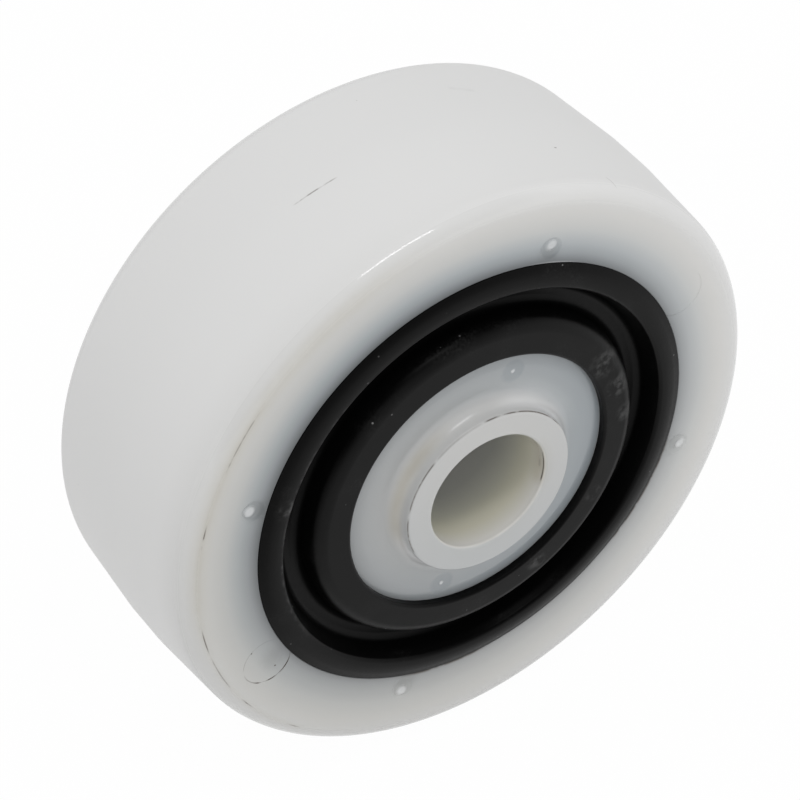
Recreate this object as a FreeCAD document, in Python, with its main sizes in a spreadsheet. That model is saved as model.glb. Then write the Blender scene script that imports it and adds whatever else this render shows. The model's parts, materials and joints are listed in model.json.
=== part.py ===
"""Rubber-cushioned trolley wheel: nylon tread ring, grooved rubber ring and nylon hub with a plain bore.

The three pieces are turned sections about the axle, which lies along Y through the origin at the wheel's
centre. The front of the wheel, with the gate and ejector marks, faces -Y. Sizes are in millimetres.
"""

import FreeCAD
import Part
import Sketcher
import os

# Driving sizes: name, value and what it measures
SIZES = [
    ("tread_diameter", 100.9, "rolling diameter, at the crown in the middle of the tread"),
    ("tread_width", 36.9, "width over the ring's flat sides"),
    ("crown_land", 6.4, "level part of the crown"),
    ("crown_drop", 1.0, "how much smaller the tread's radius is at the sides than at the crown"),
    ("tread_edge_radius", 3.0, "rounding between tread and side"),
    ("rubber_outer_diameter", 74.3, "joint of the rubber with the tread ring"),
    ("rubber_inner_diameter", 44.7, "joint of the rubber with the hub"),
    ("rubber_step", 1.7, "height of the rubber's inner edge above the hub"),
    ("lip_share", 0.277, "part of the rubber's radial thickness that lies outside the groove"),
    ("lip_slope_share", 0.48, "part of the lip's width that slopes down to the outer joint"),
    ("lip_rise", 0.5, "height of the lip's level part above the outer joint"),
    ("lip_crest_radius", 4.5, "rounding between that slope and the level part"),
    ("lip_edge_radius", 0.8, "rounding between lip and groove"),
    ("groove_share", 0.352, "part of that thickness that the groove's mouth takes"),
    ("groove_floor_share", 0.576, "width of the groove's floor over that of its mouth"),
    ("groove_root_share", 0.45, "rounding of the groove's root over the width of its floor"),
    ("groove_depth", 3.2, "groove's floor below the rubber's outer edge"),
    ("band_fall", 0.65, "fall of the inner band from the hub to the groove"),
    ("band_edge_radius", 2.2, "rounding between groove and inner band"),
    ("rubber_edge_radius", 0.5, "rounding of the rubber's inner edge"),
    ("key_height", 2.0, "how far the rubber's keys reach into the nylon"),
    ("key_root_width", 12.0, "width of a key where it leaves the rubber"),
    ("key_tip_width", 8.0, "width of a key at its crest"),
    ("hub_length", 45.0, "length over the two collars"),
    ("bore_diameter", 20.0, "plain bore for the axle"),
    ("bore_chamfer", 0.3, "chamfer at each mouth of the bore"),
    ("collar_wall", 4.25, "wall of the collar round the bore"),
    ("collar_height", 3.4, "collar above the hub's disc"),
    ("collar_root_radius", 2.6, "fillet from collar to disc"),
    ("collar_edge_radius", 0.3, "rounding of the collar's rim"),
    ("shoulder_length", 2.35, "radial length of the slope from disc to rubber"),
    ("shoulder_drop", 0.6, "fall of that slope"),
    ("shoulder_radius", 4.0, "rounding between disc and slope"),
    ("gate_angle", 71.6, "angle of the first gate mark from +X towards +Z"),
    ("rim_gate_count", 4, "gate marks on the tread ring"),
    ("rim_gate_inset", 3.05, "gate marks of the tread ring outside its joint with the rubber"),
    ("rim_dimple_radius", 3.0, "ball radius of the dimple round a gate"),
    ("rim_dimple_depth", 1.0, "depth of that dimple"),
    ("rim_stub_diameter", 2.0, "broken-off gate stub"),
    ("rim_stub_height", 0.5, "stub above the floor of its dimple"),
    ("hub_gate_count", 2, "gate marks on the hub"),
    ("hub_gate_inset", 3.25, "gate marks of the hub inside its joint with the rubber"),
    ("hub_dimple_radius", 2.4, "ball radius of the dimple round a gate"),
    ("hub_dimple_depth", 0.6, "depth of that dimple"),
    ("hub_stub_diameter", 1.2, "broken-off gate stub"),
    ("hub_stub_height", 0.35, "stub above the floor of its dimple"),
    ("ejector_angle", 207.0, "angle of the first ejector mark from +X towards +Z"),
    ("ejector_count", 2, "ejector marks on the tread ring"),
    ("ejector_inset", 3.45, "ejector marks outside the joint with the rubber"),
    ("ejector_pin_diameter", 8.0, "flat left by an ejector pin"),
    ("ejector_mark_depth", 0.1, "depth of that flat below the ring's side"),
]

# Radii, from the tread inwards
CROWN_RADIUS = "Sizes.tread_diameter / 2"
TREAD_EDGE = f"{CROWN_RADIUS} - Sizes.crown_drop"
OUTER_JOINT = "Sizes.rubber_outer_diameter / 2"
INNER_JOINT = "Sizes.rubber_inner_diameter / 2"
RUBBER_THICKNESS = f"({OUTER_JOINT} - {INNER_JOINT})"
GROOVE_MOUTH = f"{RUBBER_THICKNESS} * Sizes.groove_share"
GROOVE_FLOOR = f"{GROOVE_MOUTH} * Sizes.groove_floor_share"
LIP_WIDTH = f"{RUBBER_THICKNESS} * Sizes.lip_share"
CREST_RADIUS = f"{OUTER_JOINT} - {LIP_WIDTH} * Sizes.lip_slope_share"
LIP_RADIUS = f"{OUTER_JOINT} - {LIP_WIDTH}"
BAND_RADIUS = f"{LIP_RADIUS} - {GROOVE_MOUTH}"
FLOOR_OUTER = f"{LIP_RADIUS} - ({GROOVE_MOUTH} - {GROOVE_FLOOR}) / 2"
FLOOR_INNER = f"{FLOOR_OUTER} - {GROOVE_FLOOR}"
OUTER_KEY_CREST = f"{OUTER_JOINT} + Sizes.key_height"
INNER_KEY_CREST = f"{INNER_JOINT} - Sizes.key_height"
DISC_EDGE = f"{INNER_JOINT} - Sizes.shoulder_length"
BORE_RADIUS = "Sizes.bore_diameter / 2"
MOUTH_RADIUS = f"{BORE_RADIUS} + Sizes.bore_chamfer"
COLLAR_RADIUS = f"{BORE_RADIUS} + Sizes.collar_wall"
RIM_GATES = f"({OUTER_JOINT} + Sizes.rim_gate_inset)"
HUB_GATES = f"({INNER_JOINT} - Sizes.hub_gate_inset)"
EJECTORS = f"({OUTER_JOINT} + Sizes.ejector_inset)"

# Heights from the wheel's middle plane
CROWN_EDGE = "Sizes.crown_land / 2"
OUTER_FACE = "Sizes.tread_width / 2"
LIP_FACE = f"{OUTER_FACE} + Sizes.lip_rise"
FLOOR_HEIGHT = f"{OUTER_FACE} - Sizes.groove_depth"
COLLAR_FACE = "Sizes.hub_length / 2"
CHAMFER_FOOT = f"{COLLAR_FACE} - Sizes.bore_chamfer"
DISC_FACE = f"{COLLAR_FACE} - Sizes.collar_height"
DISC_SEAT = f"{DISC_FACE} - Sizes.shoulder_drop"
INNER_FACE = f"{DISC_SEAT} + Sizes.rubber_step"
BAND_FACE = f"{INNER_FACE} - Sizes.band_fall"
KEY_ROOT = "Sizes.key_root_width / 2"
KEY_TIP = "Sizes.key_tip_width / 2"

EDGE_TOLERANCE = 1e-4
OUT_OF_FRONT = FreeCAD.Rotation(FreeCAD.Vector(1, 0, 0), 90)


def write_sizes(doc):
    """Lists the driving sizes in a sheet, one row each, with the value's cell named after the size."""
    sheet = doc.addObject("Spreadsheet::Sheet", "Sizes")
    for row, (name, value, meaning) in enumerate(SIZES, start=1):
        sheet.set(f"A{row}", meaning)
        sheet.set(f"B{row}", str(value))
        sheet.setAlias(f"B{row}", name)
    doc.recompute()


def both_sides(front):
    """Corners of a section from its front half, followed by the same corners mirrored to the back."""
    back = [(radius, f"-({height})") for radius, height in reversed(front)]
    return front + back


def origin_feature(body, role):
    """The body's own plane or axis with this role."""
    return next(part for part in body.Origin.OriginFeatures if part.Role == role)


def new_body(doc, label):
    """An empty body, whose label names its file."""
    body = doc.addObject("PartDesign::Body", label)
    body.Label = label
    return body


def turned_section(body, corners):
    """Turns a closed section about the axle. Corners are (radius, height) pairs of expressions."""
    sketch = body.newObject("Sketcher::SketchObject", "section")
    sketch.AttachmentSupport = [(origin_feature(body, "XY_Plane"), "")]
    sketch.MapMode = "FlatFace"
    points = [FreeCAD.Vector(*(body.evalExpression(size) for size in corner), 0) for corner in corners]
    for start, end in zip(points, points[1:] + points[:1]):
        sketch.addGeometry(Part.LineSegment(start, end))
    for line in range(len(points)):
        sketch.addConstraint(Sketcher.Constraint("Coincident", line, 2, (line + 1) % len(points), 1))
    for line, (corner, point) in enumerate(zip(corners, points)):
        for axis, expression, value in (("X", corner[0], point.x), ("Y", corner[1], point.y)):
            index = sketch.addConstraint(Sketcher.Constraint(f"Distance{axis}", -1, 1, line, 1, value))
            sketch.renameConstraint(index, f"corner_{line}_{axis}")
            sketch.setExpression(f"Constraints.corner_{line}_{axis}", expression)
    turned = body.newObject("PartDesign::Revolution", "turned")
    turned.Profile = sketch
    turned.ReferenceAxis = (sketch, ["V_Axis"])
    turned.Angle = 360
    body.Document.recompute()


def ring_edges(body, rings):
    """Names of the body's circular edges that run at these (radius, height) rings, on either side."""
    wanted = [tuple(body.evalExpression(size) for size in ring) for ring in rings]
    names = []
    for number, edge in enumerate(body.Tip.Shape.Edges, start=1):
        if not isinstance(edge.Curve, Part.Circle):
            continue
        radius, height = edge.Curve.Radius, abs(edge.Curve.Center.y)
        if any(abs(radius - r) + abs(height - h) < EDGE_TOLERANCE for r, h in wanted):
            names.append(f"Edge{number}")
    return names


def round_rings(body, name, rings, radius):
    """Rounds the circular edges at these rings with a named radius."""
    base, edges = body.Tip, ring_edges(body, rings)
    fillet = body.newObject("PartDesign::Fillet", name)
    fillet.Base = (base, edges)
    fillet.setExpression("Radius", radius)
    body.Document.recompute()


def place_on_front(feature, radius, angle, height):
    """Puts a feature on the front of the wheel, at a radius and an angle, with its own Z out of the front."""
    feature.Placement = FreeCAD.Placement(FreeCAD.Vector(), OUT_OF_FRONT)
    feature.setExpression("Placement.Base.x", f"{radius} * cos({angle})")
    feature.setExpression("Placement.Base.y", f"-({height})")
    feature.setExpression("Placement.Base.z", f"{radius} * sin({angle})")


def repeat_round_axle(body, name, features, count):
    """Repeats features evenly round the axle."""
    pattern = body.newObject("PartDesign::PolarPattern", name)
    pattern.Originals = features
    pattern.Axis = (origin_feature(body, "Y_Axis"), [""])
    pattern.Angle = 360
    pattern.setExpression("Occurrences", count)
    body.Tip = pattern
    body.Document.recompute()


def gate_marks(body, piece, radius, face):
    """Gate marks on the front of a piece: a round dimple, with the stub of the gate standing in it."""
    ball, depth = f"Sizes.{piece}_dimple_radius", f"Sizes.{piece}_dimple_depth"
    dimple = body.newObject("PartDesign::SubtractiveSphere", "gate_dimple")
    dimple.setExpression("Radius", ball)
    place_on_front(dimple, radius, "Sizes.gate_angle", f"{face} + {ball} - {depth}")
    stub = body.newObject("PartDesign::AdditiveCylinder", "gate_stub")
    stub.setExpression("Radius", f"Sizes.{piece}_stub_diameter / 2")
    stub.setExpression("Height", f"{depth} + Sizes.{piece}_stub_height")
    place_on_front(stub, radius, "Sizes.gate_angle", f"{face} - 2 * {depth}")
    repeat_round_axle(body, "gate_marks", [dimple, stub], f"Sizes.{piece}_gate_count")


def make_rim(doc):
    """The nylon tread ring, crowned in the middle, with the groove that the rubber's outer key fills."""
    body = new_body(doc, "rim")
    tread_corner, crown = (TREAD_EDGE, OUTER_FACE), (CROWN_RADIUS, CROWN_EDGE)
    key = [(OUTER_KEY_CREST, KEY_TIP), (OUTER_JOINT, KEY_ROOT)]
    turned_section(body, both_sides(key + [(OUTER_JOINT, OUTER_FACE), tread_corner, crown]))
    round_rings(body, "tread_edges", [tread_corner], "Sizes.tread_edge_radius")
    gate_marks(body, "rim", RIM_GATES, OUTER_FACE)
    flat = body.newObject("PartDesign::SubtractiveCylinder", "ejector_flat")
    flat.setExpression("Radius", "Sizes.ejector_pin_diameter / 2")
    flat.setExpression("Height", OUTER_FACE)
    place_on_front(flat, EJECTORS, "Sizes.ejector_angle", f"{OUTER_FACE} - Sizes.ejector_mark_depth")
    repeat_round_axle(body, "ejector_marks", [flat], "Sizes.ejector_count")
    return body


def make_cushion_ring(doc):
    """The rubber ring: keyed into both nylon pieces, with a groove between lip and band in each side."""
    body = new_body(doc, "cushion_ring")
    crest, lip = (CREST_RADIUS, LIP_FACE), (LIP_RADIUS, LIP_FACE)
    band, inner_edge = (BAND_RADIUS, BAND_FACE), (INNER_JOINT, INNER_FACE)
    floor = [(FLOOR_OUTER, FLOOR_HEIGHT), (FLOOR_INNER, FLOOR_HEIGHT)]
    outer_key = [(OUTER_KEY_CREST, KEY_TIP), (OUTER_JOINT, KEY_ROOT)]
    inner_key = [(INNER_JOINT, KEY_ROOT), (INNER_KEY_CREST, KEY_TIP)]
    front = outer_key + [(OUTER_JOINT, OUTER_FACE), crest, lip] + floor + [band, inner_edge] + inner_key
    turned_section(body, both_sides(front))
    round_rings(body, "groove_roots", floor, f"{GROOVE_FLOOR} * Sizes.groove_root_share")
    round_rings(body, "band_edges", [band], "Sizes.band_edge_radius")
    round_rings(body, "lip_edges", [lip], "Sizes.lip_edge_radius")
    round_rings(body, "lip_crests", [crest], "Sizes.lip_crest_radius")
    round_rings(body, "inner_edges", [inner_edge], "Sizes.rubber_edge_radius")
    return body


def make_hub(doc):
    """The nylon hub: a disc keyed into the rubber, a collar on each side and the axle bore."""
    body = new_body(doc, "hub")
    bore = [(BORE_RADIUS, CHAMFER_FOOT), (MOUTH_RADIUS, COLLAR_FACE)]
    collar_rim, collar_root = (COLLAR_RADIUS, COLLAR_FACE), (COLLAR_RADIUS, DISC_FACE)
    shoulder = (DISC_EDGE, DISC_FACE)
    key = [(INNER_JOINT, KEY_ROOT), (INNER_KEY_CREST, KEY_TIP)]
    disc = [collar_root, shoulder, (INNER_JOINT, DISC_SEAT)]
    turned_section(body, both_sides(bore + [collar_rim] + disc + key))
    round_rings(body, "shoulders", [shoulder], "Sizes.shoulder_radius")
    round_rings(body, "collar_roots", [collar_root], "Sizes.collar_root_radius")
    round_rings(body, "collar_rims", [collar_rim], "Sizes.collar_edge_radius")
    gate_marks(body, "hub", HUB_GATES, DISC_FACE)
    return body


def check(doc, bodies):
    """Stops if any object failed, or if a piece isn't one valid solid."""
    failed = [part.Name for part in doc.Objects if {"Invalid", "Error"} & set(part.State)]
    if failed:
        raise RuntimeError(f"failed objects: {failed}")
    for body in bodies:
        if body.Shape.isNull() or not body.Shape.isValid() or len(body.Shape.Solids) != 1:
            raise RuntimeError(f"{body.Label} isn't one valid solid")


def main():
    """Builds the wheel and writes one file for each piece."""
    doc = FreeCAD.newDocument("trolley_wheel")
    write_sizes(doc)
    bodies = [make_rim(doc), make_cushion_ring(doc), make_hub(doc)]
    doc.recompute()
    check(doc, bodies)
    os.makedirs("parts", exist_ok=True)
    for body in bodies:
        body.Shape.exportStep(f"parts/{body.Label}.step")
        print(f"{body.Label}: {body.Shape.Volume:.0f} cubic millimetres")


main()
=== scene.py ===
"""Dresses the trolley wheel: turned nylon and rubber pieces with the marks of moulding and use.

Sizes are in millimetres and angles in degrees. The axle lies along Y, and the front, with the
marks, faces -Y. An angle on the wheel is counted from +X towards +Z.
"""

import json
import logging
import math
from dataclasses import dataclass
from enum import Enum
from typing import Protocol, Sequence

import bmesh
import bpy
from mathutils import Matrix, Vector


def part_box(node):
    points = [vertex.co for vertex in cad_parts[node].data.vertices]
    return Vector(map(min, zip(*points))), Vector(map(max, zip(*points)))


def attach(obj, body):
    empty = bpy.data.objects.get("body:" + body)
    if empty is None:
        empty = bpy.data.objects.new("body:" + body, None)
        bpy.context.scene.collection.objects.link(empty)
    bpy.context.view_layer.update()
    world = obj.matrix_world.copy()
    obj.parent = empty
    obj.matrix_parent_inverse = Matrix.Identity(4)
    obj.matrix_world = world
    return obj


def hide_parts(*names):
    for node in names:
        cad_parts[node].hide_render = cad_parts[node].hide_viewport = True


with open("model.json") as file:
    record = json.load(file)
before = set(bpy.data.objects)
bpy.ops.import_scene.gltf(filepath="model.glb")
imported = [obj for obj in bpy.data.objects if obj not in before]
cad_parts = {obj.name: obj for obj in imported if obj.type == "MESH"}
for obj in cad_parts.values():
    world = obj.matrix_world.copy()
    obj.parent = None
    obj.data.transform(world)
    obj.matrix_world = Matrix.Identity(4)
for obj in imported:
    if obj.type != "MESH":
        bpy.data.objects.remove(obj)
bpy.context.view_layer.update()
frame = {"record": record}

LOG = logging.getLogger("trolley_wheel")

MM = 0.001
LATHE_STEPS = 360
FACET_LENGTH = 0.22
SMOOTH_ANGLE = math.radians(32.0)
MERGE_DISTANCE = 1e-7
FRONT_FADE = 5.0
GOLDEN_ANGLE = 137.5
AXLE = Vector((0.0, 1.0, 0.0))
UP = Vector((0.0, 0.0, 1.0))

Colour = tuple[float, float, float, float]
Span = tuple[float, float, float]
Stops = Sequence[tuple[float, Colour]]
Pair = tuple[float, float]

WHITE: Colour = (1.0, 1.0, 1.0, 1.0)


def grey(level: float) -> Colour:
    """A grey of this level."""
    return (level, level, level, 1.0)


class Value:
    """A number that varies over a surface: arithmetic on it adds Math nodes."""

    def __init__(self, graph: "Graph", socket: bpy.types.NodeSocket) -> None:
        """Wraps an output socket of a graph."""
        self.graph = graph
        self.socket = socket

    def math(self, operation: str, *others: "Value | float", clamp: bool = False) -> "Value":
        """Applies one operation of the Math node.

        Args:
            operation: The operation's name.
            others: The operands that follow this value.
            clamp: Whether the result is held between 0 and 1.

        Returns:
            The result.
        """
        operands = dict(enumerate((self, *others)))
        node = self.graph.node("ShaderNodeMath", {"operation": operation, "use_clamp": clamp}, operands)
        return Value(self.graph, node.outputs[0])

    def swapped(self, operation: str, first: float) -> "Value":
        """Applies an operation with a plain number before this value."""
        node = self.graph.node("ShaderNodeMath", {"operation": operation}, {0: first, 1: self})
        return Value(self.graph, node.outputs[0])

    def __add__(self, other: "Value | float") -> "Value":
        """Sum."""
        return self.math("ADD", other)

    def __radd__(self, other: float) -> "Value":
        """Sum with a number in front."""
        return self.math("ADD", other)

    def __sub__(self, other: "Value | float") -> "Value":
        """Difference."""
        return self.math("SUBTRACT", other)

    def __rsub__(self, other: float) -> "Value":
        """Difference from a number."""
        return self.swapped("SUBTRACT", other)

    def __mul__(self, other: "Value | float") -> "Value":
        """Product."""
        return self.math("MULTIPLY", other)

    def __rmul__(self, other: float) -> "Value":
        """Product with a number in front."""
        return self.math("MULTIPLY", other)

    def __truediv__(self, other: "Value | float") -> "Value":
        """Quotient."""
        return self.math("DIVIDE", other)

    def __rtruediv__(self, other: float) -> "Value":
        """Quotient of a number by this value."""
        return self.swapped("DIVIDE", other)

    def __abs__(self) -> "Value":
        """Size without sign."""
        return self.math("ABSOLUTE")

    def clamped(self) -> "Value":
        """The value held between 0 and 1."""
        return self.math("ADD", 0.0, clamp=True)

    def rise(self, low: float, high: float) -> "Value":
        """Goes smoothly from 0 at low to 1 at high."""
        settings = {"interpolation_type": "SMOOTHSTEP"}
        inputs = {"Value": self, "From Min": low, "From Max": high}
        node = self.graph.node("ShaderNodeMapRange", settings, inputs)
        return Value(self.graph, node.outputs["Result"])

    def near(self, centre: float, reach: float) -> "Value":
        """1 at the centre, falling smoothly to 0 at this reach on either side."""
        return 1.0 - abs(self - centre).rise(0.0, reach)


def distance(first: Value, second: Value) -> Value:
    """Length of two steps at right angles, taken together."""
    return (first * first + second * second).math("SQRT")


class Blend(Enum):
    """How one colour is laid over another."""

    COVER = "MIX"
    STAIN = "MULTIPLY"


class Graph:
    """The nodes of a material or of the world."""

    def __init__(self, tree: bpy.types.NodeTree) -> None:
        """Takes over a node tree."""
        self.tree = tree

    def node(
        self, kind: str, settings: dict[str, object], inputs: dict[str | int, object]
    ) -> bpy.types.Node:
        """Adds a node.

        Args:
            kind: The node's type.
            settings: Its properties, with a ramp's stops under "stops".
            inputs: Values or links of its sockets, by name or number.

        Returns:
            The node.
        """
        node = self.tree.nodes.new(kind)
        for name, setting in settings.items():
            if name == "stops":
                self.set_stops(node.color_ramp, setting)
            else:
                setattr(node, name, setting)
        for key, value in inputs.items():
            self.feed(node.inputs[key], value)
        return node

    def feed(self, socket: bpy.types.NodeSocket, value: object) -> None:
        """Links a value to a socket, or sets the socket to a plain number or colour."""
        if isinstance(value, Value):
            value = value.socket
        if isinstance(value, bpy.types.NodeSocket):
            self.tree.links.new(value, socket)
        else:
            socket.default_value = value

    @staticmethod
    def set_stops(ramp: bpy.types.ColorRamp, stops: Stops) -> None:
        """Gives a colour ramp these stops."""
        while len(ramp.elements) < len(stops):
            ramp.elements.new(1.0)
        for element, (position, colour) in zip(ramp.elements, stops):
            element.position = position
            element.color = colour


class Surface(Graph):
    """The nodes of one material."""

    def __init__(self, name: str) -> None:
        """Starts a material with a Principled shader."""
        self.material = bpy.data.materials.new(name)
        self.material.use_nodes = True
        super().__init__(self.material.node_tree)
        self.shader = self.tree.nodes["Principled BSDF"]
        self.coordinates = self.node("ShaderNodeTexCoord", {}, {}).outputs["Object"]

    def ramp(self, value: Value, stops: Stops) -> bpy.types.NodeSocket:
        """Colour that a value between 0 and 1 picks from a smooth ramp."""
        settings = {"stops": stops}
        return self.node("ShaderNodeValToRGB", settings, {"Fac": value}).outputs["Color"]

    def mix(
        self, factor: Value, under: object, over: object, blend: Blend = Blend.COVER
    ) -> bpy.types.NodeSocket:
        """Lays one colour over another.

        Args:
            factor: How much of the upper colour shows.
            under: The lower colour.
            over: The upper colour.
            blend: The way in which they combine.

        Returns:
            The resulting colour.
        """
        settings = {"data_type": "RGBA", "blend_type": blend.value}
        return self.node("ShaderNodeMix", settings, {0: factor, 6: under, 7: over}).outputs[2]

    def noise(self, wavelength: float, detail: float) -> Value:
        """Soft noise between 0 and 1.

        Args:
            wavelength: Its coarsest grain.
            detail: How many finer octaves it has.

        Returns:
            The noise.
        """
        inputs = {"Vector": self.coordinates, "Scale": 1.0 / (wavelength * MM), "Detail": detail}
        return Value(self, self.node("ShaderNodeTexNoise", {}, inputs).outputs[0])

    def specks(self, spacing: float, size: float) -> Value:
        """Round specks scattered over the surface.

        Args:
            spacing: Mean distance between specks.
            size: Radius of a speck.

        Returns:
            1 in a speck and 0 elsewhere.
        """
        inputs = {"Vector": self.coordinates, "Scale": 1.0 / (spacing * MM)}
        cells = self.node("ShaderNodeTexVoronoi", {}, inputs)
        return 1.0 - Value(self, cells.outputs["Distance"]).rise(0.5 * size / spacing, size / spacing)

    def bump(self, height: Value, distance: float) -> bpy.types.NodeSocket:
        """Normal of a surface with this relief.

        Args:
            height: The relief, from 0 to 1.
            distance: How high 1 stands.

        Returns:
            The normal.
        """
        inputs = {"Height": height, "Distance": distance * MM, "Strength": 1.0}
        return self.node("ShaderNodeBump", {}, inputs).outputs[0]

    def finish(self, **inputs: object) -> bpy.types.Material:
        """Feeds the shader's sockets, named with underscores for spaces, and hands over the material."""
        for name, value in inputs.items():
            self.feed(self.shader.inputs[name.replace("_", " ")], value)
        return self.material


class Place:
    """Where a point lies on the wheel, as values in millimetres and radians."""

    def __init__(self, graph: Surface) -> None:
        """Works the place out from the object's coordinates."""
        parts = graph.node("ShaderNodeSeparateXYZ", {}, {0: graph.coordinates})
        self.x, self.across, self.z = (Value(graph, parts.outputs[axis]) / MM for axis in "XYZ")
        self.height = abs(self.across)
        self.radius = distance(self.x, self.z)
        self.angle = self.z.math("ARCTAN2", self.x)
        self.front = 1.0 - self.across.rise(-FRONT_FADE, FRONT_FADE)

    def turned(self, degrees: float) -> Value:
        """Angle from this direction, between minus and plus half a turn."""
        return (self.angle - math.radians(degrees)).math("WRAP", math.pi, -math.pi)

    def apart(self, radius: float, degrees: float, count: int = 1) -> tuple[Value, Value]:
        """Distances from a point of the front, or from the nearest of several round the axle.

        Args:
            radius: The point's radius.
            degrees: The first point's angle.
            count: How many points there are, spaced evenly.

        Returns:
            The distances outwards and along the circle.
        """
        half = math.pi / count
        turn = (self.angle - math.radians(degrees)).math("WRAP", half, -half)
        return self.radius * turn.math("COSINE") - radius, self.radius * turn.math("SINE")


class Mark(Protocol):
    """Something that shows on a part of a surface."""

    def mask(self, place: Place) -> Value:
        """How strongly the mark shows at a place."""


@dataclass(frozen=True)
class ArcMark:
    """A line along a circle round the axle, on the front.

    Each of its spans has a first and a last angle and a strength.
    """

    radius: float
    height: float
    width: float
    spans: tuple[Span, ...]
    fade: float = 4.0

    def mask(self, place: Place) -> Value:
        """How strongly the mark shows at a place."""
        away = distance(place.radius - self.radius, place.height - self.height)
        beside = 1.0 - away.rise(0.0, self.width)
        first, *others = (self.along(place, *span) for span in self.spans)
        return beside * sum(others, first) * place.front

    def along(self, place: Place, start: float, end: float, strength: float) -> Value:
        """How strongly one span shows at a place's angle."""
        half = math.radians((end - start) / 2)
        away = abs(place.turned((start + end) / 2))
        return (1.0 - away.rise(half - math.radians(self.fade), half)) * strength


@dataclass(frozen=True)
class RingMark:
    """A line along part of a small circle on the front, about a point given by its radius and angle."""

    radius: float
    angle: float
    ring: float
    start: float
    end: float
    width: float
    strength: float = 1.0
    full_share: float = 0.6

    def mask(self, place: Place) -> Value:
        """How strongly the mark shows at a place."""
        outward, around = place.apart(self.radius, self.angle)
        middle, half = (self.start + self.end) / 2, (self.end - self.start) / 2
        turn = around.math("ARCTAN2", outward) - math.radians(middle)
        bearing = abs(turn.math("WRAP", math.pi, -math.pi))
        along = 1.0 - bearing.rise(math.radians(self.full_share * half), math.radians(half))
        beside = distance(outward, around).near(self.ring, self.width)
        return beside * along * place.front * self.strength


@dataclass(frozen=True)
class Spots:
    """Soft round spots on the front, spaced evenly round the axle from a first radius and angle."""

    radius: float
    angle: float
    count: int
    core: float
    reach: float
    strength: float = 1.0

    def mask(self, place: Place) -> Value:
        """How strongly the spots show at a place."""
        away = distance(*place.apart(self.radius, self.angle, self.count))
        return (1.0 - away.rise(self.core, self.reach)) * place.front * self.strength


@dataclass(frozen=True)
class SideShade:
    """A painted shade across a ring of the front: nothing at this angle, most on the opposite side."""

    angle: float
    inner: Pair
    outer: Pair
    strength: float = 1.0

    def mask(self, place: Place) -> Value:
        """How strongly the change shows at a place."""
        opposite = (1.0 - place.turned(self.angle).math("COSINE")) * 0.5
        inside = place.radius.rise(*self.inner) - place.radius.rise(*self.outer)
        return opposite * inside * place.front * self.strength


@dataclass(frozen=True)
class Scratch:
    """A straight scratch or scuff on the tread, from one (angle, across) place to another."""

    start: Pair
    end: Pair
    width: float
    strength: float = 1.0
    tread_radius: float = 50.0
    tread_share: Pair = (0.97, 0.98)
    fade_share: Pair = (0.3, 0.5)

    def mask(self, place: Place) -> Value:
        """How strongly the scratch shows at a place."""
        run = math.radians(self.end[0] - self.start[0]) * self.tread_radius
        side = self.end[1] - self.start[1]
        length = math.hypot(run, side)
        middle_angle, middle_across = ((a + b) / 2 for a, b in zip(self.start, self.end))
        u = place.turned(middle_angle) * self.tread_radius
        v = place.across - middle_across
        along = abs(u * (run / length) + v * (side / length))
        beside = abs(u * (side / length) - v * (run / length))
        on_tread = place.radius.rise(*(share * self.tread_radius for share in self.tread_share))
        reach = 1.0 - along.rise(*(share * length for share in self.fade_share))
        return (1.0 - beside.rise(0.0, self.width)) * reach * on_tread * self.strength


def all_of(marks: Sequence[Mark], place: Place) -> Value:
    """Masks of several marks together."""
    first, *others = (mark.mask(place) for mark in marks)
    return sum(others, first).clamped()


@dataclass(frozen=True)
class Corner:
    """A corner of a turned section: its radius, its height from the middle plane and its rounding."""

    radius: float
    height: float
    rounding: float = 0.0

    def mirrored(self) -> "Corner":
        """The same corner on the back."""
        return Corner(self.radius, -self.height, self.rounding)

    def point(self) -> Vector:
        """The corner's place in the section's plane, in metres."""
        return Vector((self.radius, -self.height, 0.0)) * MM


def round_corner(shape: bmesh.types.BMesh, vert: bmesh.types.BMVert, radius: float) -> None:
    """Rounds one corner of a section that is still a loop of edges.

    Args:
        shape: The mesh that holds the section.
        vert: The corner.
        radius: The rounding's radius.
    """
    sides = [edge.other_vert(vert).co - vert.co for edge in vert.link_edges]
    turn = math.pi - sides[0].angle(sides[1])
    segments = max(3, math.ceil(turn * radius / FACET_LENGTH))
    tangent = radius * MM * math.tan(turn / 2)
    bmesh.ops.bevel(
        shape,
        geom=[vert],
        offset=tangent,
        offset_type="OFFSET",
        affect="VERTICES",
        segments=segments,
        profile=0.5,
        material=-1,
    )


def spin(shape: bmesh.types.BMesh, axis: Vector, steps: int) -> None:
    """Turns the edges of a mesh once round an axis through the origin and closes it.

    Args:
        shape: The mesh.
        axis: The axis's direction.
        steps: How many faces go round.
    """
    bmesh.ops.spin(
        shape,
        geom=shape.verts[:] + shape.edges[:],
        cent=(0.0, 0.0, 0.0),
        axis=axis,
        angle=math.tau,
        steps=steps,
        use_merge=True,
    )
    bmesh.ops.remove_doubles(shape, verts=shape.verts[:], dist=MERGE_DISTANCE)
    bmesh.ops.recalc_face_normals(shape, faces=shape.faces[:])


def turn_section(front: Sequence[Corner]) -> bmesh.types.BMesh:
    """Turns a section about the axle.

    Args:
        front: Corners of the section's front half, in order; the back is its mirror image.

    Returns:
        The closed mesh.
    """
    shape = bmesh.new()
    corners = [*front, *(corner.mirrored() for corner in reversed(front))]
    verts = [shape.verts.new(corner.point()) for corner in corners]
    for start, end in zip(verts, verts[1:] + verts[:1]):
        shape.edges.new((start, end))
    for vert, corner in zip(verts, corners):
        if corner.rounding:
            round_corner(shape, vert, corner.rounding)
    spin(shape, AXLE, LATHE_STEPS)
    return shape


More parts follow.
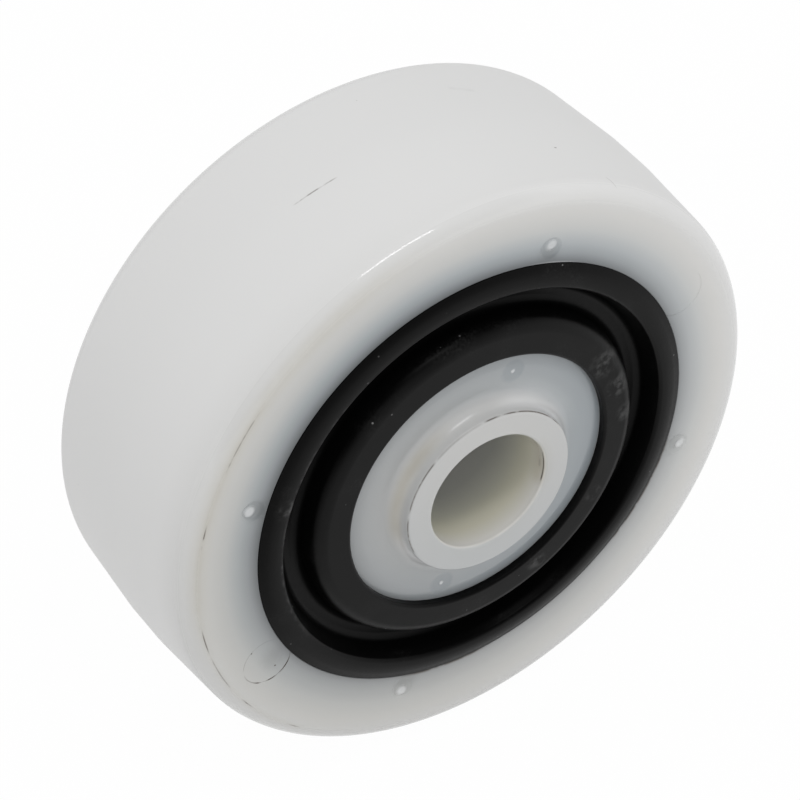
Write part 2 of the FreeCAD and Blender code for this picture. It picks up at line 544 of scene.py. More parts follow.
def on_front(radius: float, angle: float, height: float) -> Matrix:
    """Stands a shape on the front of the wheel, with its own Z out of the front.

    Args:
        radius: Distance from the axle.
        angle: Angle round the axle.
        height: Height from the middle plane.

    Returns:
        The shape's matrix.
    """
    turn = math.radians(angle)
    place = Vector((radius * math.cos(turn), -height, radius * math.sin(turn))) * MM
    return Matrix.Translation(place) @ Matrix.Rotation(math.radians(90.0), 4, "X")


def spaced(first: float, count: int) -> list[float]:
    """Angles of some marks that are spaced evenly round the axle."""
    return [first + 360.0 * number / count for number in range(count)]


def add_object(name: str, shape: bmesh.types.BMesh) -> bpy.types.Object:
    """Turns a mesh under construction into an object of the scene, and frees it."""
    mesh = bpy.data.meshes.new(name)
    shape.to_mesh(mesh)
    shape.free()
    piece = bpy.data.objects.new(name, mesh)
    bpy.context.scene.collection.objects.link(piece)
    return piece


def carve(piece: bpy.types.Object, shape: bmesh.types.BMesh) -> None:
    """Cuts a shape out of a piece, and keeps the result as the piece's own mesh.

    Args:
        piece: The piece.
        shape: The shape, which is used up.
    """
    tool = add_object("tool", shape)
    cut = piece.modifiers.new("cut", "BOOLEAN")
    cut.operation = "DIFFERENCE"
    cut.solver = "EXACT"
    cut.object = tool
    carved = bpy.data.meshes.new_from_object(piece.evaluated_get(bpy.context.evaluated_depsgraph_get()))
    piece.modifiers.remove(cut)
    whole, piece.data = piece.data, carved
    carved.name = piece.name
    bpy.data.meshes.remove(whole)
    bpy.data.meshes.remove(tool.data)


def smooth(piece: bpy.types.Object) -> None:
    """Shades a piece smoothly between its sharp edges, with flat faces kept flat."""
    mesh = piece.data
    mesh.polygons.foreach_set("use_smooth", [True] * len(mesh.polygons))
    mesh.set_sharp_from_angle(angle=SMOOTH_ANGLE)
    weighted = piece.modifiers.new("flat faces", "WEIGHTED_NORMAL")
    weighted.keep_sharp = True
    weighted.weight = 100


@dataclass(frozen=True)
class GateMarks:
    """Where the plastic was let into the mould: soft dimples, each with its gate's broken stub."""

    radius: float
    face: float
    angle: float
    count: int
    mouth: float
    flat: float
    depth: float
    stub: float
    stub_drop: float
    crater: float
    lean: float
    stub_brow: float = 0.7
    stub_foot: float = 1.3
    bell_from: float = 1.31
    tilt: float = 9.0
    lift: float = 0.03
    head: float = 2.0
    steps: int = 6
    segments: int = 48

    def section(self) -> list[Vector]:
        """Half of a cutter's section: crater, stub and bell in smooth waves, and a flat top."""
        knots = [
            (0.0, -self.stub_drop - self.crater),
            (self.stub_brow * self.stub, -self.stub_drop),
            (self.stub_foot * self.stub, -self.depth),
            (self.flat, -self.depth),
            (self.mouth, self.lift),
        ]
        points = [knots[0]]
        for (r0, z0), (r1, z1) in zip(knots, knots[1:]):
            for step in range(1, self.steps + 1):
                share = step / self.steps
                ease = (1.0 - math.cos(math.pi * share)) / 2
                points.append((r0 + (r1 - r0) * share, z0 + (z1 - z0) * ease))
        points += [(self.mouth, self.head), (0.0, self.head)]
        return [Vector((r, 0.0, z)) * MM for r, z in points]

    def cutter(self, number: int, angle: float) -> bmesh.types.BMesh:
        """One dimple's cutter, upright at the origin.

        Args:
            number: Which mark it is, which turns the slant at which its stub broke off.
            angle: Its angle round the axle, towards which the dimple leans inwards.

        Returns:
            The cutter.
        """
        shape = bmesh.new()
        verts = [shape.verts.new(point) for point in self.section()]
        for start, end in zip(verts, verts[1:]):
            shape.edges.new((start, end))
        spin(shape, UP, self.segments)
        stub = [v for v in shape.verts if v.co.xy.length < self.stub * MM and v.co.z < 0.0]
        bearing, outward = math.radians(GOLDEN_ANGLE * number), math.radians(angle)
        hinge = (math.cos(bearing), math.sin(bearing), 0.0)
        slant = Matrix.Rotation(math.radians(self.tilt), 3, hinge)
        bmesh.ops.rotate(shape, cent=(0.0, 0.0, -self.stub_drop * MM), matrix=slant, verts=stub)
        inward = -Vector((math.cos(outward), math.sin(outward), 0.0))
        bell = [v for v in shape.verts if v.co.xy.length > self.bell_from * self.stub * MM]
        bmesh.ops.translate(shape, vec=inward * self.lean * MM, verts=bell)
        return shape

    def carve_into(self, piece: bpy.types.Object) -> None:
        """Cuts all the marks into a piece."""
        for number, angle in enumerate(spaced(self.angle, self.count)):
            shape = self.cutter(number, angle)
            place = on_front(self.radius, angle, self.face)
            bmesh.ops.transform(shape, matrix=place, verts=shape.verts[:])
            carve(piece, shape)


@dataclass(frozen=True)
class EjectorMarks:
    """Shallow flats on the front where the mould's ejector pins pressed."""

    radius: float
    face: float
    angle: float
    count: int
    pin: float
    depth: float
    segments: int = 96

    def carve_into(self, piece: bpy.types.Object) -> None:
        """Cuts all the flats into a piece."""
        length, radius = self.pin * MM, self.pin * MM / 2
        for angle in spaced(self.angle, self.count):
            shape = bmesh.new()
            foot = on_front(self.radius, angle, self.face - self.depth)
            bmesh.ops.create_cone(
                shape,
                cap_ends=True,
                segments=self.segments,
                radius1=radius,
                radius2=radius,
                depth=length,
                matrix=foot @ Matrix.Translation(UP * length / 2),
            )
            carve(piece, shape)


@dataclass(frozen=True)
class NylonFinish:
    """Natural nylon, pale and a little see-through: the shade of the rubber behind it is painted into
    its colour, reaching further on one side, with more painted shade and highlights among its marks.
    """

    name: str
    stops: Stops
    rubber_joint: float
    outward: float
    reach: float
    lean: float
    lean_angle: float
    dirt: tuple[Mark, ...]
    stains: tuple[Mark, ...]
    shades: tuple[Mark, ...]
    highlights_and_whitening: tuple[Mark, ...]
    cool_shades: tuple[Mark, ...]
    satin_radius: float
    grime: Colour = (0.06, 0.043, 0.028, 1.0)
    stain: Colour = (0.72, 0.66, 0.52, 1.0)
    shade: Colour = (0.72, 0.76, 0.79, 1.0)
    highlight_and_white: Colour = (0.82, 0.83, 0.84, 1.0)
    cool_shade: Colour = (0.84, 0.93, 1.0, 1.0)
    cloud_size: float = 14.0
    cloud_shade: float = 0.04
    fine_size: float = 0.8
    streak_size: float = 2.6
    stain_even: float = 0.65
    stain_streaks: float = 0.5
    grime_gaps: Pair = (0.3, 0.52)
    speck_spacing: float = 7.0
    speck_size: float = 0.14
    speck_patches: Pair = (0.55, 0.65)
    speck_strength: float = 0.5
    roughness: float = 0.29
    satin: float = 0.17
    satin_fade: float = 0.2
    polish: float = 0.2
    polish_fade: Pair = (2.5, 1.0)
    fine_roughness: float = 0.05
    cloud_roughness: float = 0.03
    grime_roughness: float = 0.3
    wave_size: float = 9.0
    fine_relief: float = 0.012
    relief_height: float = 0.025
    refraction: float = 1.53

    def depth(self, place: Place) -> Value:
        """How far a place is from the rubber, as a share of the reach of its painted shade; the lean
        makes the shade reach further on the side at the lean's angle.
        """
        shift = (1.0 - place.turned(self.lean_angle).math("COSINE")) * self.lean
        return ((place.radius - self.rubber_joint) * self.outward + shift) / self.reach

    def tint(self, graph: Surface, place: Place, colour: bpy.types.NodeSocket) -> bpy.types.NodeSocket:
        """The colour at a place before any mark: here the painted shade ramp as it is."""
        return colour

    def material(self) -> bpy.types.Material:
        """Builds the material."""
        graph = Surface(self.name)
        place = Place(graph)
        cloud = graph.noise(self.cloud_size, detail=2.0)
        fine = graph.noise(self.fine_size, detail=2.0)
        streak = graph.noise(self.streak_size, detail=3.0)
        depth = self.depth(place) + (cloud - 0.5) * self.cloud_shade
        # painted shade: the ramp darkens the nylon towards the rubber, further on one side
        colour = self.tint(graph, place, graph.ramp(depth.clamped(), self.stops))
        # painted shade laid over the ramp: one side of the front darker, and the gates' dimples
        colour = graph.mix(all_of(self.shades, place), colour, self.shade, Blend.STAIN)
        # painted cool shade: bluish on one side next to the rubber
        colour = graph.mix(all_of(self.cool_shades, place), colour, self.cool_shade, Blend.STAIN)
        stained = all_of(self.stains, place) * (streak * self.stain_streaks + self.stain_even)
        colour = graph.mix(stained.clamped(), colour, self.stain, Blend.STAIN)
        # painted highlights and light, and the whitening of broken gate stubs
        colour = graph.mix(all_of(self.highlights_and_whitening, place), colour, self.highlight_and_white)
        specks = graph.specks(self.speck_spacing, self.speck_size) * cloud.rise(*self.speck_patches)
        grime = all_of(self.dirt, place) * streak.rise(*self.grime_gaps)
        grime = grime.math("MAXIMUM", specks * self.speck_strength)
        colour = graph.mix(grime, colour, self.grime)
        worn = place.radius.rise(self.satin_radius - self.satin_fade, self.satin_radius)
        edge = place.radius.rise(*(self.satin_radius - fade for fade in self.polish_fade))
        gloss = worn * self.satin - edge * (1.0 - worn) * self.polish
        grain = (fine - 0.5) * self.fine_roughness + cloud * self.cloud_roughness
        relief = graph.noise(self.wave_size, detail=1.0) + fine * self.fine_relief
        return graph.finish(
            Base_Color=colour,
            Roughness=grain + gloss + grime * self.grime_roughness + self.roughness,
            Normal=graph.bump(relief, self.relief_height),
            IOR=self.refraction,
        )


@dataclass(frozen=True, kw_only=True)
class HubFinish(NylonFinish):
    """The hub's nylon, with painted shade and a yellow stain deeper inside the bore."""

    bore: float
    mouth: float
    bore_edge: Pair = (0.05, 0.3)
    bore_reach: float = 16.0
    # painted shade with a yellow stain, darker deeper inside the bore
    bore_shade_and_stain_stops: Stops = (
        (0.0, (0.63, 0.625, 0.603, 1.0)),
        (0.06, (0.717, 0.706, 0.678, 1.0)),
        (0.125, (0.685, 0.673, 0.618, 1.0)),
        (0.25, (0.645, 0.627, 0.525, 1.0)),
        (0.38, (0.593, 0.582, 0.487, 1.0)),
        (0.5, (0.535, 0.533, 0.47, 1.0)),
        (0.62, (0.49, 0.491, 0.45, 1.0)),
        (0.75, (0.448, 0.45, 0.428, 1.0)),
        (1.0, (0.49, 0.492, 0.48, 1.0)),
    )

    def tint(self, graph: Surface, place: Place, colour: bpy.types.NodeSocket) -> bpy.types.NodeSocket:
        """The colour at a place before any mark: inside the bore, painted shade with a yellow stain that
        deepens away from the mouth.
        """
        inside = 1.0 - place.radius.rise(*(self.bore + edge for edge in self.bore_edge))
        depth = ((self.mouth - place.height) / self.bore_reach).clamped()
        return graph.mix(inside, colour, graph.ramp(depth, self.bore_shade_and_stain_stops))


@dataclass(frozen=True)
class RubberFinish:
    """Black rubber with a soft sheen, a fine grain, a little dust on its faces and a painted sheen on
    its raised faces that is stronger on one side.
    """

    name: str
    floor: float
    face: float
    smudges: tuple[Mark, ...]
    colour: Colour = grey(0.0012)
    dust_and_sheen_grey: Colour = grey(0.3)
    painted_sheen: float = 0.026
    painted_sheen_rise: Pair = (0.15, 1.05)
    painted_sheen_even: float = 0.3
    painted_sheen_lean: float = 0.35
    least_sheen_angle: float = 290.0
    grain_size: float = 0.35
    cloud_size: float = 7.0
    smear_size: float = 1.3
    film_patches: Pair = (0.5, 0.8)
    film_grain: Pair = (0.35, 0.75)
    film_strength: float = 0.04
    speck_spacing: float = 2.6
    speck_size: float = 0.19
    speck_patches: Pair = (0.41, 0.57)
    speck_strength: float = 0.55
    smear_patches: Pair = (0.38, 0.72)
    smear_strength: float = 0.4
    roughness: float = 0.36
    grain_roughness: float = 0.2
    dust_roughness: float = 0.5
    grain_relief: float = 0.3
    cloud_relief: float = 0.7
    relief_height: float = 0.03
    gloss: float = 0.086

    def dust_and_sheen(self, graph: Surface, place: Place, grain: Value, cloud: Value) -> Value:
        """How much dust and painted sheen lie at a place: a film and specks of dust, a painted sheen on
        the raised faces, stronger on one side, and smudges.

        Args:
            graph: The material's nodes.
            place: The place.
            grain: The rubber's fine noise.
            cloud: The noise in whose patches the dust lies.

        Returns:
            The dust and painted sheen, from 0 to 1.
        """
        exposed = place.height.rise(self.floor, self.face)
        film = cloud.rise(*self.film_patches) * grain.rise(*self.film_grain)
        specks = graph.specks(self.speck_spacing, self.speck_size) * cloud.rise(*self.speck_patches)
        smear = graph.noise(self.smear_size, detail=5.0).rise(*self.smear_patches)
        smudged = all_of(self.smudges, place) * smear
        # painted sheen: lighter raised faces, least at the least sheen angle
        lean = 1.0 - place.turned(self.least_sheen_angle).math("COSINE")
        sheen_spread = lean * self.painted_sheen_lean + self.painted_sheen_even
        sheen = place.height.rise(*(self.face + rise for rise in self.painted_sheen_rise)) * sheen_spread * self.painted_sheen
        lying = (film * self.film_strength + specks * self.speck_strength) * exposed
        return (lying + sheen + smudged * self.smear_strength).clamped()

    def material(self) -> bpy.types.Material:
        """Builds the material."""
        graph = Surface(self.name)
        place = Place(graph)
        grain = graph.noise(self.grain_size, detail=3.0)
        cloud = graph.noise(self.cloud_size, detail=3.0)
        dust_and_sheen = self.dust_and_sheen(graph, place, grain, cloud)
        roughness = (grain - 0.5) * self.grain_roughness + dust_and_sheen * self.dust_roughness
        relief = grain * self.grain_relief + cloud * self.cloud_relief
        return graph.finish(
            Base_Color=graph.mix(dust_and_sheen, self.colour, self.dust_and_sheen_grey),
            Roughness=roughness + self.roughness,
            Normal=graph.bump(relief, self.relief_height),
            Specular_IOR_Level=self.gloss,
        )


@dataclass
class Sizes:
    """Sizes that the wheel's pieces share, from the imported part."""

    key_height: float = 2.0
    key_root: float = 6.0
    key_tip: float = 4.0
    seam: float = 0.15
    crown_radius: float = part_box("rim")[1].x / MM
    outer_face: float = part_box("rim")[1].y / MM
    inner_joint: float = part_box("hub")[1].x / MM
    collar_face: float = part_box("hub")[1].y / MM
    bore_radius: float = frame["record"]["mounts"][0]["dims"]["r_mm"]
    outer_joint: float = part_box("cushion_ring")[1].x / MM - key_height

    def outer_key(self) -> list[Corner]:
        """The joint between tread ring and rubber, from the middle plane to the front."""
        key = self.outer_joint + self.key_height
        return [Corner(key, self.key_tip), Corner(self.outer_joint, self.key_root)]

    def inner_key(self) -> list[Corner]:
        """The joint between rubber and hub, from the front to the middle plane."""
        key = self.inner_joint - self.key_height
        return [Corner(self.inner_joint, self.key_root), Corner(key, self.key_tip)]


def settle(piece: bpy.types.Object, node: str) -> None:
    """Puts a finished piece in its node's place, on the wheel's one body.

    Args:
        piece: The piece.
        node: The node that it stands for.
    """
    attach(piece, "root")
    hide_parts(node)


@dataclass
class TreadRing:
    """The nylon ring that rolls on the floor."""

    sizes: Sizes
    crown_land: float = 6.4
    crown_drop: float = 1.0
    edge_rounding: float = 3.0
    gate_radius: float = 40.2
    gate_angle: float = 71.6
    gate_count: int = 4
    ejector_radius: float = 40.6
    ejector_angle: float = 207.0
    ejector_count: int = 2
    ejector_pin: float = 8.0
    parting_radius: float = 47.15

    def build(self) -> bpy.types.Object:
        """Turns the ring and sets the marks of its mould on the front."""
        s = self.sizes
        corners = [
            *s.outer_key(),
            Corner(s.outer_joint, s.outer_face, s.seam),
            Corner(s.crown_radius - self.crown_drop, s.outer_face, self.edge_rounding),
            Corner(s.crown_radius, self.crown_land / 2),
        ]
        ring = add_object("tread_ring", turn_section(corners))
        gates = GateMarks(
            radius=self.gate_radius,
            face=s.outer_face,
            angle=self.gate_angle,
            count=self.gate_count,
            mouth=2.1,
            flat=1.35,
            depth=0.24,
            stub=0.95,
            stub_drop=0.03,
            crater=0.08,
            lean=0.5,
        )
        gates.carve_into(ring)
        ejectors = EjectorMarks(
            radius=self.ejector_radius,
            face=s.outer_face,
            angle=self.ejector_angle,
            count=self.ejector_count,
            pin=self.ejector_pin,
            depth=0.03,
        )
        ejectors.carve_into(ring)
        smooth(ring)
        return ring

    def dress(self, ring: bpy.types.Object) -> None:
        """Gives the ring its nylon, with grime on the parting line, scuffs on the tread, and painted
        shade and highlights on the front.
        """
        joint, face = self.sizes.outer_joint, self.sizes.outer_face
        parting, pin = self.parting_radius, self.ejector_pin / 2
        finish = NylonFinish(
            name="rim_nylon",
            # painted shade: the ramp darkens towards the rubber joint, reaching further at the lean's
            # angle
            stops=(
                (0.0, (0.083, 0.086, 0.088, 1.0)),
                (0.07, (0.183, 0.187, 0.189, 1.0)),
                (0.16, (0.321, 0.327, 0.329, 1.0)),
                (0.28, (0.445, 0.45, 0.448, 1.0)),
                (0.45, (0.56, 0.563, 0.552, 1.0)),
                (0.7, (0.655, 0.65, 0.632, 1.0)),
                (0.95, (0.714, 0.714, 0.71, 1.0)),
            ),
            rubber_joint=joint,
            outward=1.0,
            reach=13.0,
            lean=0.9,
            lean_angle=125.0,
            dirt=(
                ArcMark(parting, face, 0.2, ((139.0, 153.0, 0.55), (162.5, 169.0, 0.95)), 3.0),
                ArcMark(parting, face, 0.17, ((187.0, 195.0, 0.95), (195.0, 207.0, 0.55)), 3.0),
                ArcMark(parting, face, 0.17, ((210.0, 215.0, 0.95), (225.0, 230.0, 0.7)), 3.0),
                # darker along the rubber's edge at the bottom and lower right, in the grime colour
                ArcMark(joint, face, 0.5, ((248.0, 277.0, 0.8), (310.0, 347.0, 0.8)), 8.0),
                RingMark(self.ejector_radius, self.ejector_angle, pin, 20.0, 140.0, 0.17, 0.9),
                RingMark(self.ejector_radius, self.ejector_angle, pin, -160.0, 200.0, 0.14, 0.35),
                RingMark(self.ejector_radius, self.ejector_angle - 180.0, pin, 195.0, 240.0, 0.14, 0.25),
                Spots(39.6, 207.5, 1, 0.5, 3.3, 0.13),
                Spots(41.7, 201.8, 1, 0.06, 0.2, 0.9),
                Spots(40.2, 210.0, 1, 0.06, 0.22, 0.9),
                Scratch((112.0, 0.0), (103.0, -0.4), 0.2, 0.65),
                Scratch((61.3, -15.2), (59.7, -17.5), 0.16, 0.25),
                Scratch((66.7, -8.4), (66.1, -8.4), 0.2, 0.9),
                Scratch((75.0, 9.2), (70.0, 7.3), 0.7, 0.06),
            ),
            stains=(
                ArcMark(parting, face, 2.4, ((95.0, 200.0, 0.25),), 25.0),
                ArcMark(parting, face, 0.9, ((136.0, 232.0, 0.12),)),
            ),
            shades=(
                # painted shade: the front darker towards the lower left, by how light falls
                SideShade(40.0, (36.5, 40.5), (49.3, 50.0), 0.6),
                # painted shade of each gate's dimple, on its side towards the rubber
                Spots(self.gate_radius - 1.4, self.gate_angle, self.gate_count, 0.3, 2.8, 0.6),
            ),
            highlights_and_whitening=(
                # painted highlight: a thin bright line along the rubber joint at the top
                ArcMark(joint + 0.1, face, 0.3, ((60.0, 78.0, 0.25),), 8.0),
                # whitened nylon where the gate stubs broke off
                Spots(self.gate_radius, self.gate_angle, self.gate_count, 0.35, 1.25, 0.5),
            ),
            # painted cool shade: bluish next to the rubber towards the top
            cool_shades=(SideShade(285.0, (36.5, 37.5), (39.5, 44.0), 0.65),),
            shade=(0.75, 0.75, 0.735, 1.0),
            satin_radius=self.sizes.crown_radius - self.crown_drop,
        )
        ring.data.materials.append(finish.material())
        settle(ring, "rim")


@dataclass
class CushionRing:
    """The rubber ring between tread ring and hub, with a groove in each side."""

    sizes: Sizes
    lip_width: float = 3.9
    lip_slope: float = 1.97
    lip_rise: float = 0.78
    crest_rounding: float = 4.5
    lip_rounding: float = 0.7
    groove_width: float = 5.4
    floor_width: float = 3.0
    floor_shift: float = 0.3
    groove_depth: float = 3.2
    root_rounding: float = 1.35
    band_face: float = 19.8
    band_rounding: float = 2.3
    inner_face: float = 20.1
    edge_rounding: float = 0.5
    dust_rise: float = 2.0

    def lip_radius(self) -> float:
        """Radius of the lip's inner edge."""
        return self.sizes.outer_joint - self.lip_width

    def groove_floor(self) -> float:
        """Height of the groove's floor."""
        return self.sizes.outer_face - self.groove_depth

    def build(self) -> bpy.types.Object:
        """Turns the ring."""
        s = self.sizes
        lip, band = self.lip_radius(), self.lip_radius() - self.groove_width
        middle = (lip + band) / 2 - self.floor_shift
        lip_face, floor = s.outer_face + self.lip_rise, self.groove_floor()
        corners = [
            *s.outer_key(),
            Corner(s.outer_joint, s.outer_face, s.seam),
            Corner(s.outer_joint - self.lip_slope, lip_face, self.crest_rounding),
            Corner(lip, lip_face, self.lip_rounding),
            Corner(middle + self.floor_width / 2, floor, self.root_rounding),
            Corner(middle - self.floor_width / 2, floor, self.root_rounding),
            Corner(band, self.band_face, self.band_rounding),
            Corner(s.inner_joint, self.inner_face, self.edge_rounding),
            *s.inner_key(),
        ]
        ring = add_object("cushion", turn_section(corners))
        smooth(ring)
        return ring

    def dress(self, ring: bpy.types.Object) -> None:
        """Gives the ring its rubber."""
        lip, face = self.lip_radius(), self.sizes.outer_face
        finish = RubberFinish(
            name="cushion_rubber",
            floor=self.groove_floor() + self.dust_rise,
            face=face,
            smudges=(
                # lighter in patches along the lip's inner edge, on the upper left and left
                ArcMark(lip + 0.3, face + self.lip_rise, 0.45, ((120.0, 215.0, 0.35),), 20.0),
                Spots(25.2, 30.0, 1, 0.4, 3.6, 0.5),
                Spots(25.6, 16.0, 1, 0.4, 3.0, 0.6),
                Spots(24.2, 296.0, 1, 0.3, 2.2, 0.5),
                Spots(26.4, 2.0, 1, 0.3, 2.4, 0.5),
                Spots(24.6, 328.0, 1, 0.3, 1.9, 0.5),
                Spots(33.9, 162.0, 1, 0.3, 2.4, 0.4),
            ),
        )
        ring.data.materials.append(finish.material())
        settle(ring, "cushion_ring")


@dataclass
class Hub:
    """The nylon hub with its collars and bore."""

    sizes: Sizes
    bore_rounding: float = 0.5
    collar_radius: float = 14.25
    collar_edge: float = 0.55
    collar_root: float = 2.6
    disc: float = 19.1
    disc_edge: float = 20.0
    seat: float = 18.75
    shoulder_rounding: float = 4.0
    gate_radius: float = 19.1
    gate_angle: float = 71.6
    gate_count: int = 2
    dirt_inset: float = 0.2
    dirt_drop: float = 0.4

    def build(self) -> bpy.types.Object:
        """Turns the hub and sets its gate marks on the front."""
        s = self.sizes
        corners = [
            Corner(s.bore_radius, s.collar_face, self.bore_rounding),
            Corner(self.collar_radius, s.collar_face, self.collar_edge),
            Corner(self.collar_radius, self.disc, self.collar_root),
            Corner(self.disc_edge, self.disc, self.shoulder_rounding),
            Corner(s.inner_joint, self.seat),
            *s.inner_key(),
        ]
        hub = add_object("wheel_hub", turn_section(corners))
        gates = GateMarks(
            radius=self.gate_radius,
            face=self.disc,
            angle=self.gate_angle,
            count=self.gate_count,
            mouth=2.1,
            flat=1.5,
            depth=0.07,
            stub=0.4,
            stub_drop=0.0,
            crater=0.05,
            lean=0.0,
        )
        gates.carve_into(hub)
        smooth(hub)
        return hub

    def dress(self, hub: bpy.types.Object) -> None:
        """Gives the hub its nylon, painted darker than the tread ring's as shade, with grime on the
        collar's rim and inside the bore's mouth, and painted shade and light on the front.
        """
        face, bore = self.sizes.collar_face, self.sizes.bore_radius
        rim = self.collar_radius - self.dirt_inset * self.collar_edge
        top = face - self.dirt_drop * self.collar_edge
        finish = HubFinish(
            name="hub_nylon",
            # painted shade: the same nylon as the tread ring, given darker, darker still towards the
            # rubber and further at the lean's angle
            stops=(
                (0.0, (0.293, 0.306, 0.314, 1.0)),
                (0.15, (0.314, 0.327, 0.334, 1.0)),
                (0.4, (0.365, 0.375, 0.378, 1.0)),
                (0.62, (0.405, 0.41, 0.409, 1.0)),
                (0.74, (0.545, 0.545, 0.54, 1.0)),
                (1.0, (0.545, 0.545, 0.535, 1.0)),
            ),
            rubber_joint=self.sizes.inner_joint,
            outward=-1.0,
            reach=12.0,
            lean=0.8,
            lean_angle=305.0,
            dirt=(
                ArcMark(rim, top, 0.2, ((28.0, 95.0, 0.9), (95.0, 131.0, 0.3), (131.0, 205.0, 0.75))),
                ArcMark(bore, face - 0.6, 0.24, ((341.0, 414.0, 0.9),)),
                ArcMark(bore, face - 1.6, 0.3, ((352.0, 381.0, 0.45),), 6.0),
            ),
            stains=(
                # a yellowed, darker band round the collar's root on the left
                ArcMark(15.0, 20.1, 1.7, ((105.0, 215.0, 0.6),), 35.0),
                ArcMark(bore, face - 1.5, 2.4, ((332.0, 400.0, 0.5),), 14.0),
            ),
            shades=(
                # painted shade: the collar's face darker towards the bottom
                SideShade(80.0, (10.0, 10.4), (14.2, 14.6), 0.5),
                # painted shade: a darker round spot over each gate's shallow dimple
                Spots(self.gate_radius, self.gate_angle, self.gate_count, 1.6, 2.3, 0.45),
            ),
            highlights_and_whitening=(
                # painted light: a brighter patch on the disc beside the collar, towards the upper right
                ArcMark(15.5, 19.4, 3.4, ((0.0, 80.0, 0.18),), 30.0),
                # painted light on the fillet at the collar's root, towards the top right and the lower
                # left
                ArcMark(14.6, 20.7, 1.6, ((10.0, 90.0, 0.28), (185.0, 235.0, 0.28)), 25.0),
                # painted highlight on each gate stub
                Spots(self.gate_radius, self.gate_angle, self.gate_count, 0.15, 0.5, 0.6),
            ),
            # painted cool shade: the disc bluish towards the right
            cool_shades=(SideShade(170.0, (14.6, 16.5), (22.0, 22.4), 0.55),),
            satin_radius=self.sizes.crown_radius,
            roughness=0.2,
            bore=bore,
            mouth=face,
        )
        hub.data.materials.append(finish.material())
        settle(hub, "hub")


def direction(azimuth: float, elevation: float) -> Vector:
    """Direction from the wheel: azimuth 0 is its front and 90 is +X."""
    turn, rise = math.radians(azimuth), math.radians(elevation)
    level = math.cos(rise)
    return Vector((math.sin(turn) * level, -math.cos(turn) * level, math.sin(rise)))


@dataclass(frozen=True)
class Softbox:
    """A plain rectangular lamp that points at the wheel."""

    name: str
    azimuth: float
    elevation: float
    width: float
    height: float
    level: float
    distance: float = 900.0
    colour: tuple[float, float, float] = (1.0, 1.0, 1.0)

    def build(self) -> None:
        """Hangs the lamp, with a brightness of its face counted from white as 1."""
        lamp = bpy.data.lights.new(self.name, "AREA")
        lamp.shape = "RECTANGLE"
        lamp.size = self.width * MM
        lamp.size_y = self.height * MM
        lamp.energy = self.level * math.pi * lamp.size * lamp.size_y
        lamp.color = self.colour
        holder = bpy.data.objects.new(self.name, lamp)
        towards = direction(self.azimuth, self.elevation)
        holder.location = towards * self.distance * MM
        holder.rotation_euler = towards.to_track_quat("Z", "Y").to_euler()
        bpy.context.scene.collection.objects.link(holder)


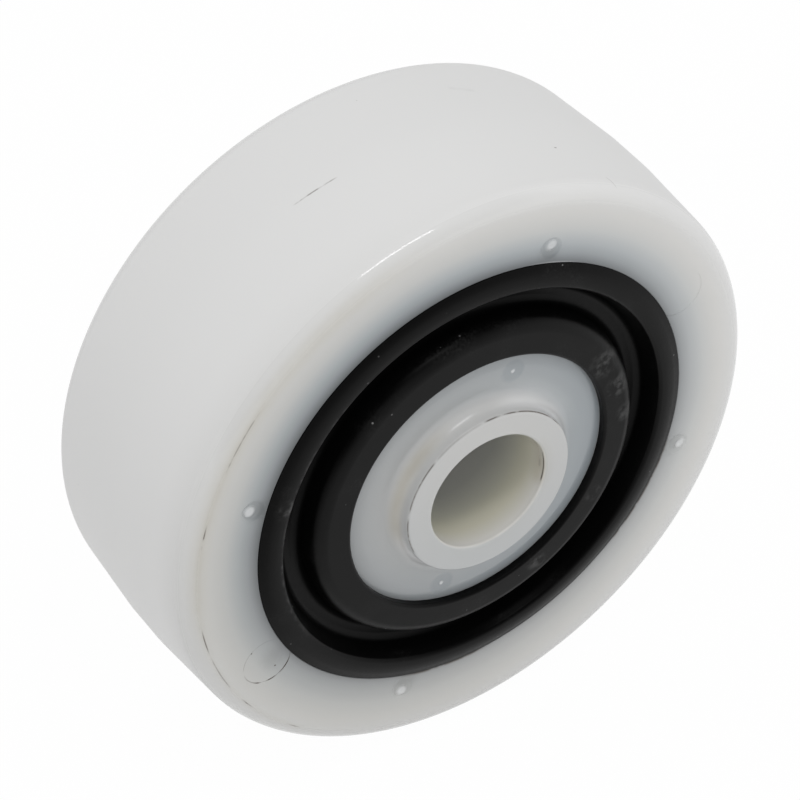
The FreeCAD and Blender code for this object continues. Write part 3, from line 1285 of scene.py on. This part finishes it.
@dataclass
class Studio:
    """White surroundings, a pale floor under the wheel, soft lamps and the camera."""

    sizes: Sizes
    front_azimuth: float = -22.0
    front_elevation: float = 52.0
    ambient: float = 0.62
    ambient_lean: float = 0.45
    dim_edge: float = 0.35
    dim_core: float = 0.65
    dimness: float = 0.97
    dim_azimuth: float = -65.0
    dim_floor: Pair = (25.0, 80.0)
    floor_size: float = 6000.0
    floor_colour: Colour = grey(0.85)
    floor_roughness: float = 0.9
    floor_shade: float = 0.02
    softboxes: tuple[Softbox, ...] = (
        Softbox("top_strip", -4.0, 70.0, width=204.0, height=50.0, level=8.0, distance=480.0),
        Softbox(
            "back_strip", 129.0, -2.0, width=100.0, height=400.0, level=0.15, colour=(0.8, 0.9, 1.0)
        ),
    )
    camera_azimuth: float = -33.2
    camera_elevation: float = 42.04
    camera_distance: float = 568.5
    camera_shift: Pair = (-0.75, 0.84)
    focal_pixels: float = 3800.0
    image_pixels: float = 800.0

    def build_world(self) -> None:
        """White to the eye and in reflections, but for a dim room in front, and a plain soft light."""
        world = bpy.data.worlds.new("surroundings")
        bpy.context.scene.world = world
        world.use_nodes = True
        graph = Graph(world.node_tree)
        seen, glossy = self.seen_rays(graph)
        outward = graph.node("ShaderNodeTexCoord", {}, {}).outputs["Generated"]
        front = direction(self.front_azimuth, self.front_elevation)
        dot = graph.node("ShaderNodeVectorMath", {"operation": "DOT_PRODUCT"}, {0: outward, 1: front})
        facing = Value(graph, dot.outputs["Value"])
        dim = facing.rise(self.dim_edge, self.dim_core) * glossy
        soft = facing * self.ambient_lean + self.ambient
        strength = seen * (1.0 - dim * self.dimness) + (1.0 - seen) * soft
        background = world.node_tree.nodes["Background"]
        graph.feed(background.inputs["Color"], WHITE)
        graph.feed(background.inputs["Strength"], strength)

    @staticmethod
    def seen_rays(graph: Graph) -> tuple[Value, Value]:
        """Which rays see a thing, straight or by reflection.

        Args:
            graph: The graph that asks.

        Returns:
            1 for rays that show the surroundings as they look, and 1 for reflected ones alone.
        """
        path = graph.node("ShaderNodeLightPath", {}, {})
        camera, glossy, through = (
            Value(graph, path.outputs[f"Is {kind} Ray"]) for kind in ("Camera", "Glossy", "Transmission")
        )
        return camera.math("MAXIMUM", glossy).math("MAXIMUM", through), glossy

    def build_floor(self) -> None:
        """A wide pale floor that the wheel stands on, white to the eye but for a trace of shadow."""
        shape = bmesh.new()
        level, half = Matrix.Translation(-UP * self.sizes.crown_radius * MM), self.floor_size * MM / 2
        bmesh.ops.create_grid(shape, x_segments=1, y_segments=1, size=half, matrix=level)
        floor = add_object("floor", shape)
        graph = Surface("pale_floor")
        graph.finish(Base_Color=self.floor_colour, Roughness=self.floor_roughness)
        white = graph.node("ShaderNodeEmission", {}, {"Color": WHITE, "Strength": 1.0})
        seen, glossy = self.seen_rays(graph)
        place, towards = Place(graph), direction(self.dim_azimuth, 0.0)
        dim = (place.x * towards.x + place.across * towards.y).rise(*self.dim_floor) * glossy
        whiteness = seen * (1.0 - dim) * (1.0 - self.floor_shade)
        inputs = {0: whiteness, 1: graph.shader.outputs[0], 2: white.outputs[0]}
        blend = graph.node("ShaderNodeMixShader", {}, inputs)
        graph.feed(graph.tree.nodes["Material Output"].inputs["Surface"], blend.outputs[0])
        floor.data.materials.append(graph.material)

    def build_camera(self) -> None:
        """The camera, at the photograph's viewing angle and distance."""
        camera = bpy.data.cameras.new("camera")
        camera.sensor_fit = "HORIZONTAL"
        camera.lens = camera.sensor_width * self.focal_pixels / self.image_pixels
        holder = bpy.data.objects.new("camera", camera)
        back = direction(self.camera_azimuth, self.camera_elevation)
        right = UP.cross(back).normalized()
        up = back.cross(right)
        axes = Matrix((right, up, back)).transposed().to_4x4()
        shift = right * self.camera_shift[0] + up * self.camera_shift[1]
        holder.matrix_world = Matrix.Translation((back * self.camera_distance + shift) * MM) @ axes
        bpy.context.scene.collection.objects.link(holder)
        bpy.context.scene.camera = holder

    def build(self) -> None:
        """Sets up the whole studio."""
        self.build_world()
        self.build_floor()
        for softbox in self.softboxes:
            softbox.build()
        self.build_camera()
        bpy.context.scene.view_settings.view_transform = "Standard"


def main() -> None:
    """Builds and dresses the wheel's pieces, then the studio round them."""
    logging.basicConfig(level=logging.INFO, format="%(name)s: %(message)s")
    sizes = Sizes()
    for part in (TreadRing(sizes), CushionRing(sizes), Hub(sizes)):
        piece = part.build()
        part.dress(piece)
        LOG.info("%s: %d faces", piece.name, len(piece.data.polygons))
    Studio(sizes).build()


if __name__ == "__main__":
    main()
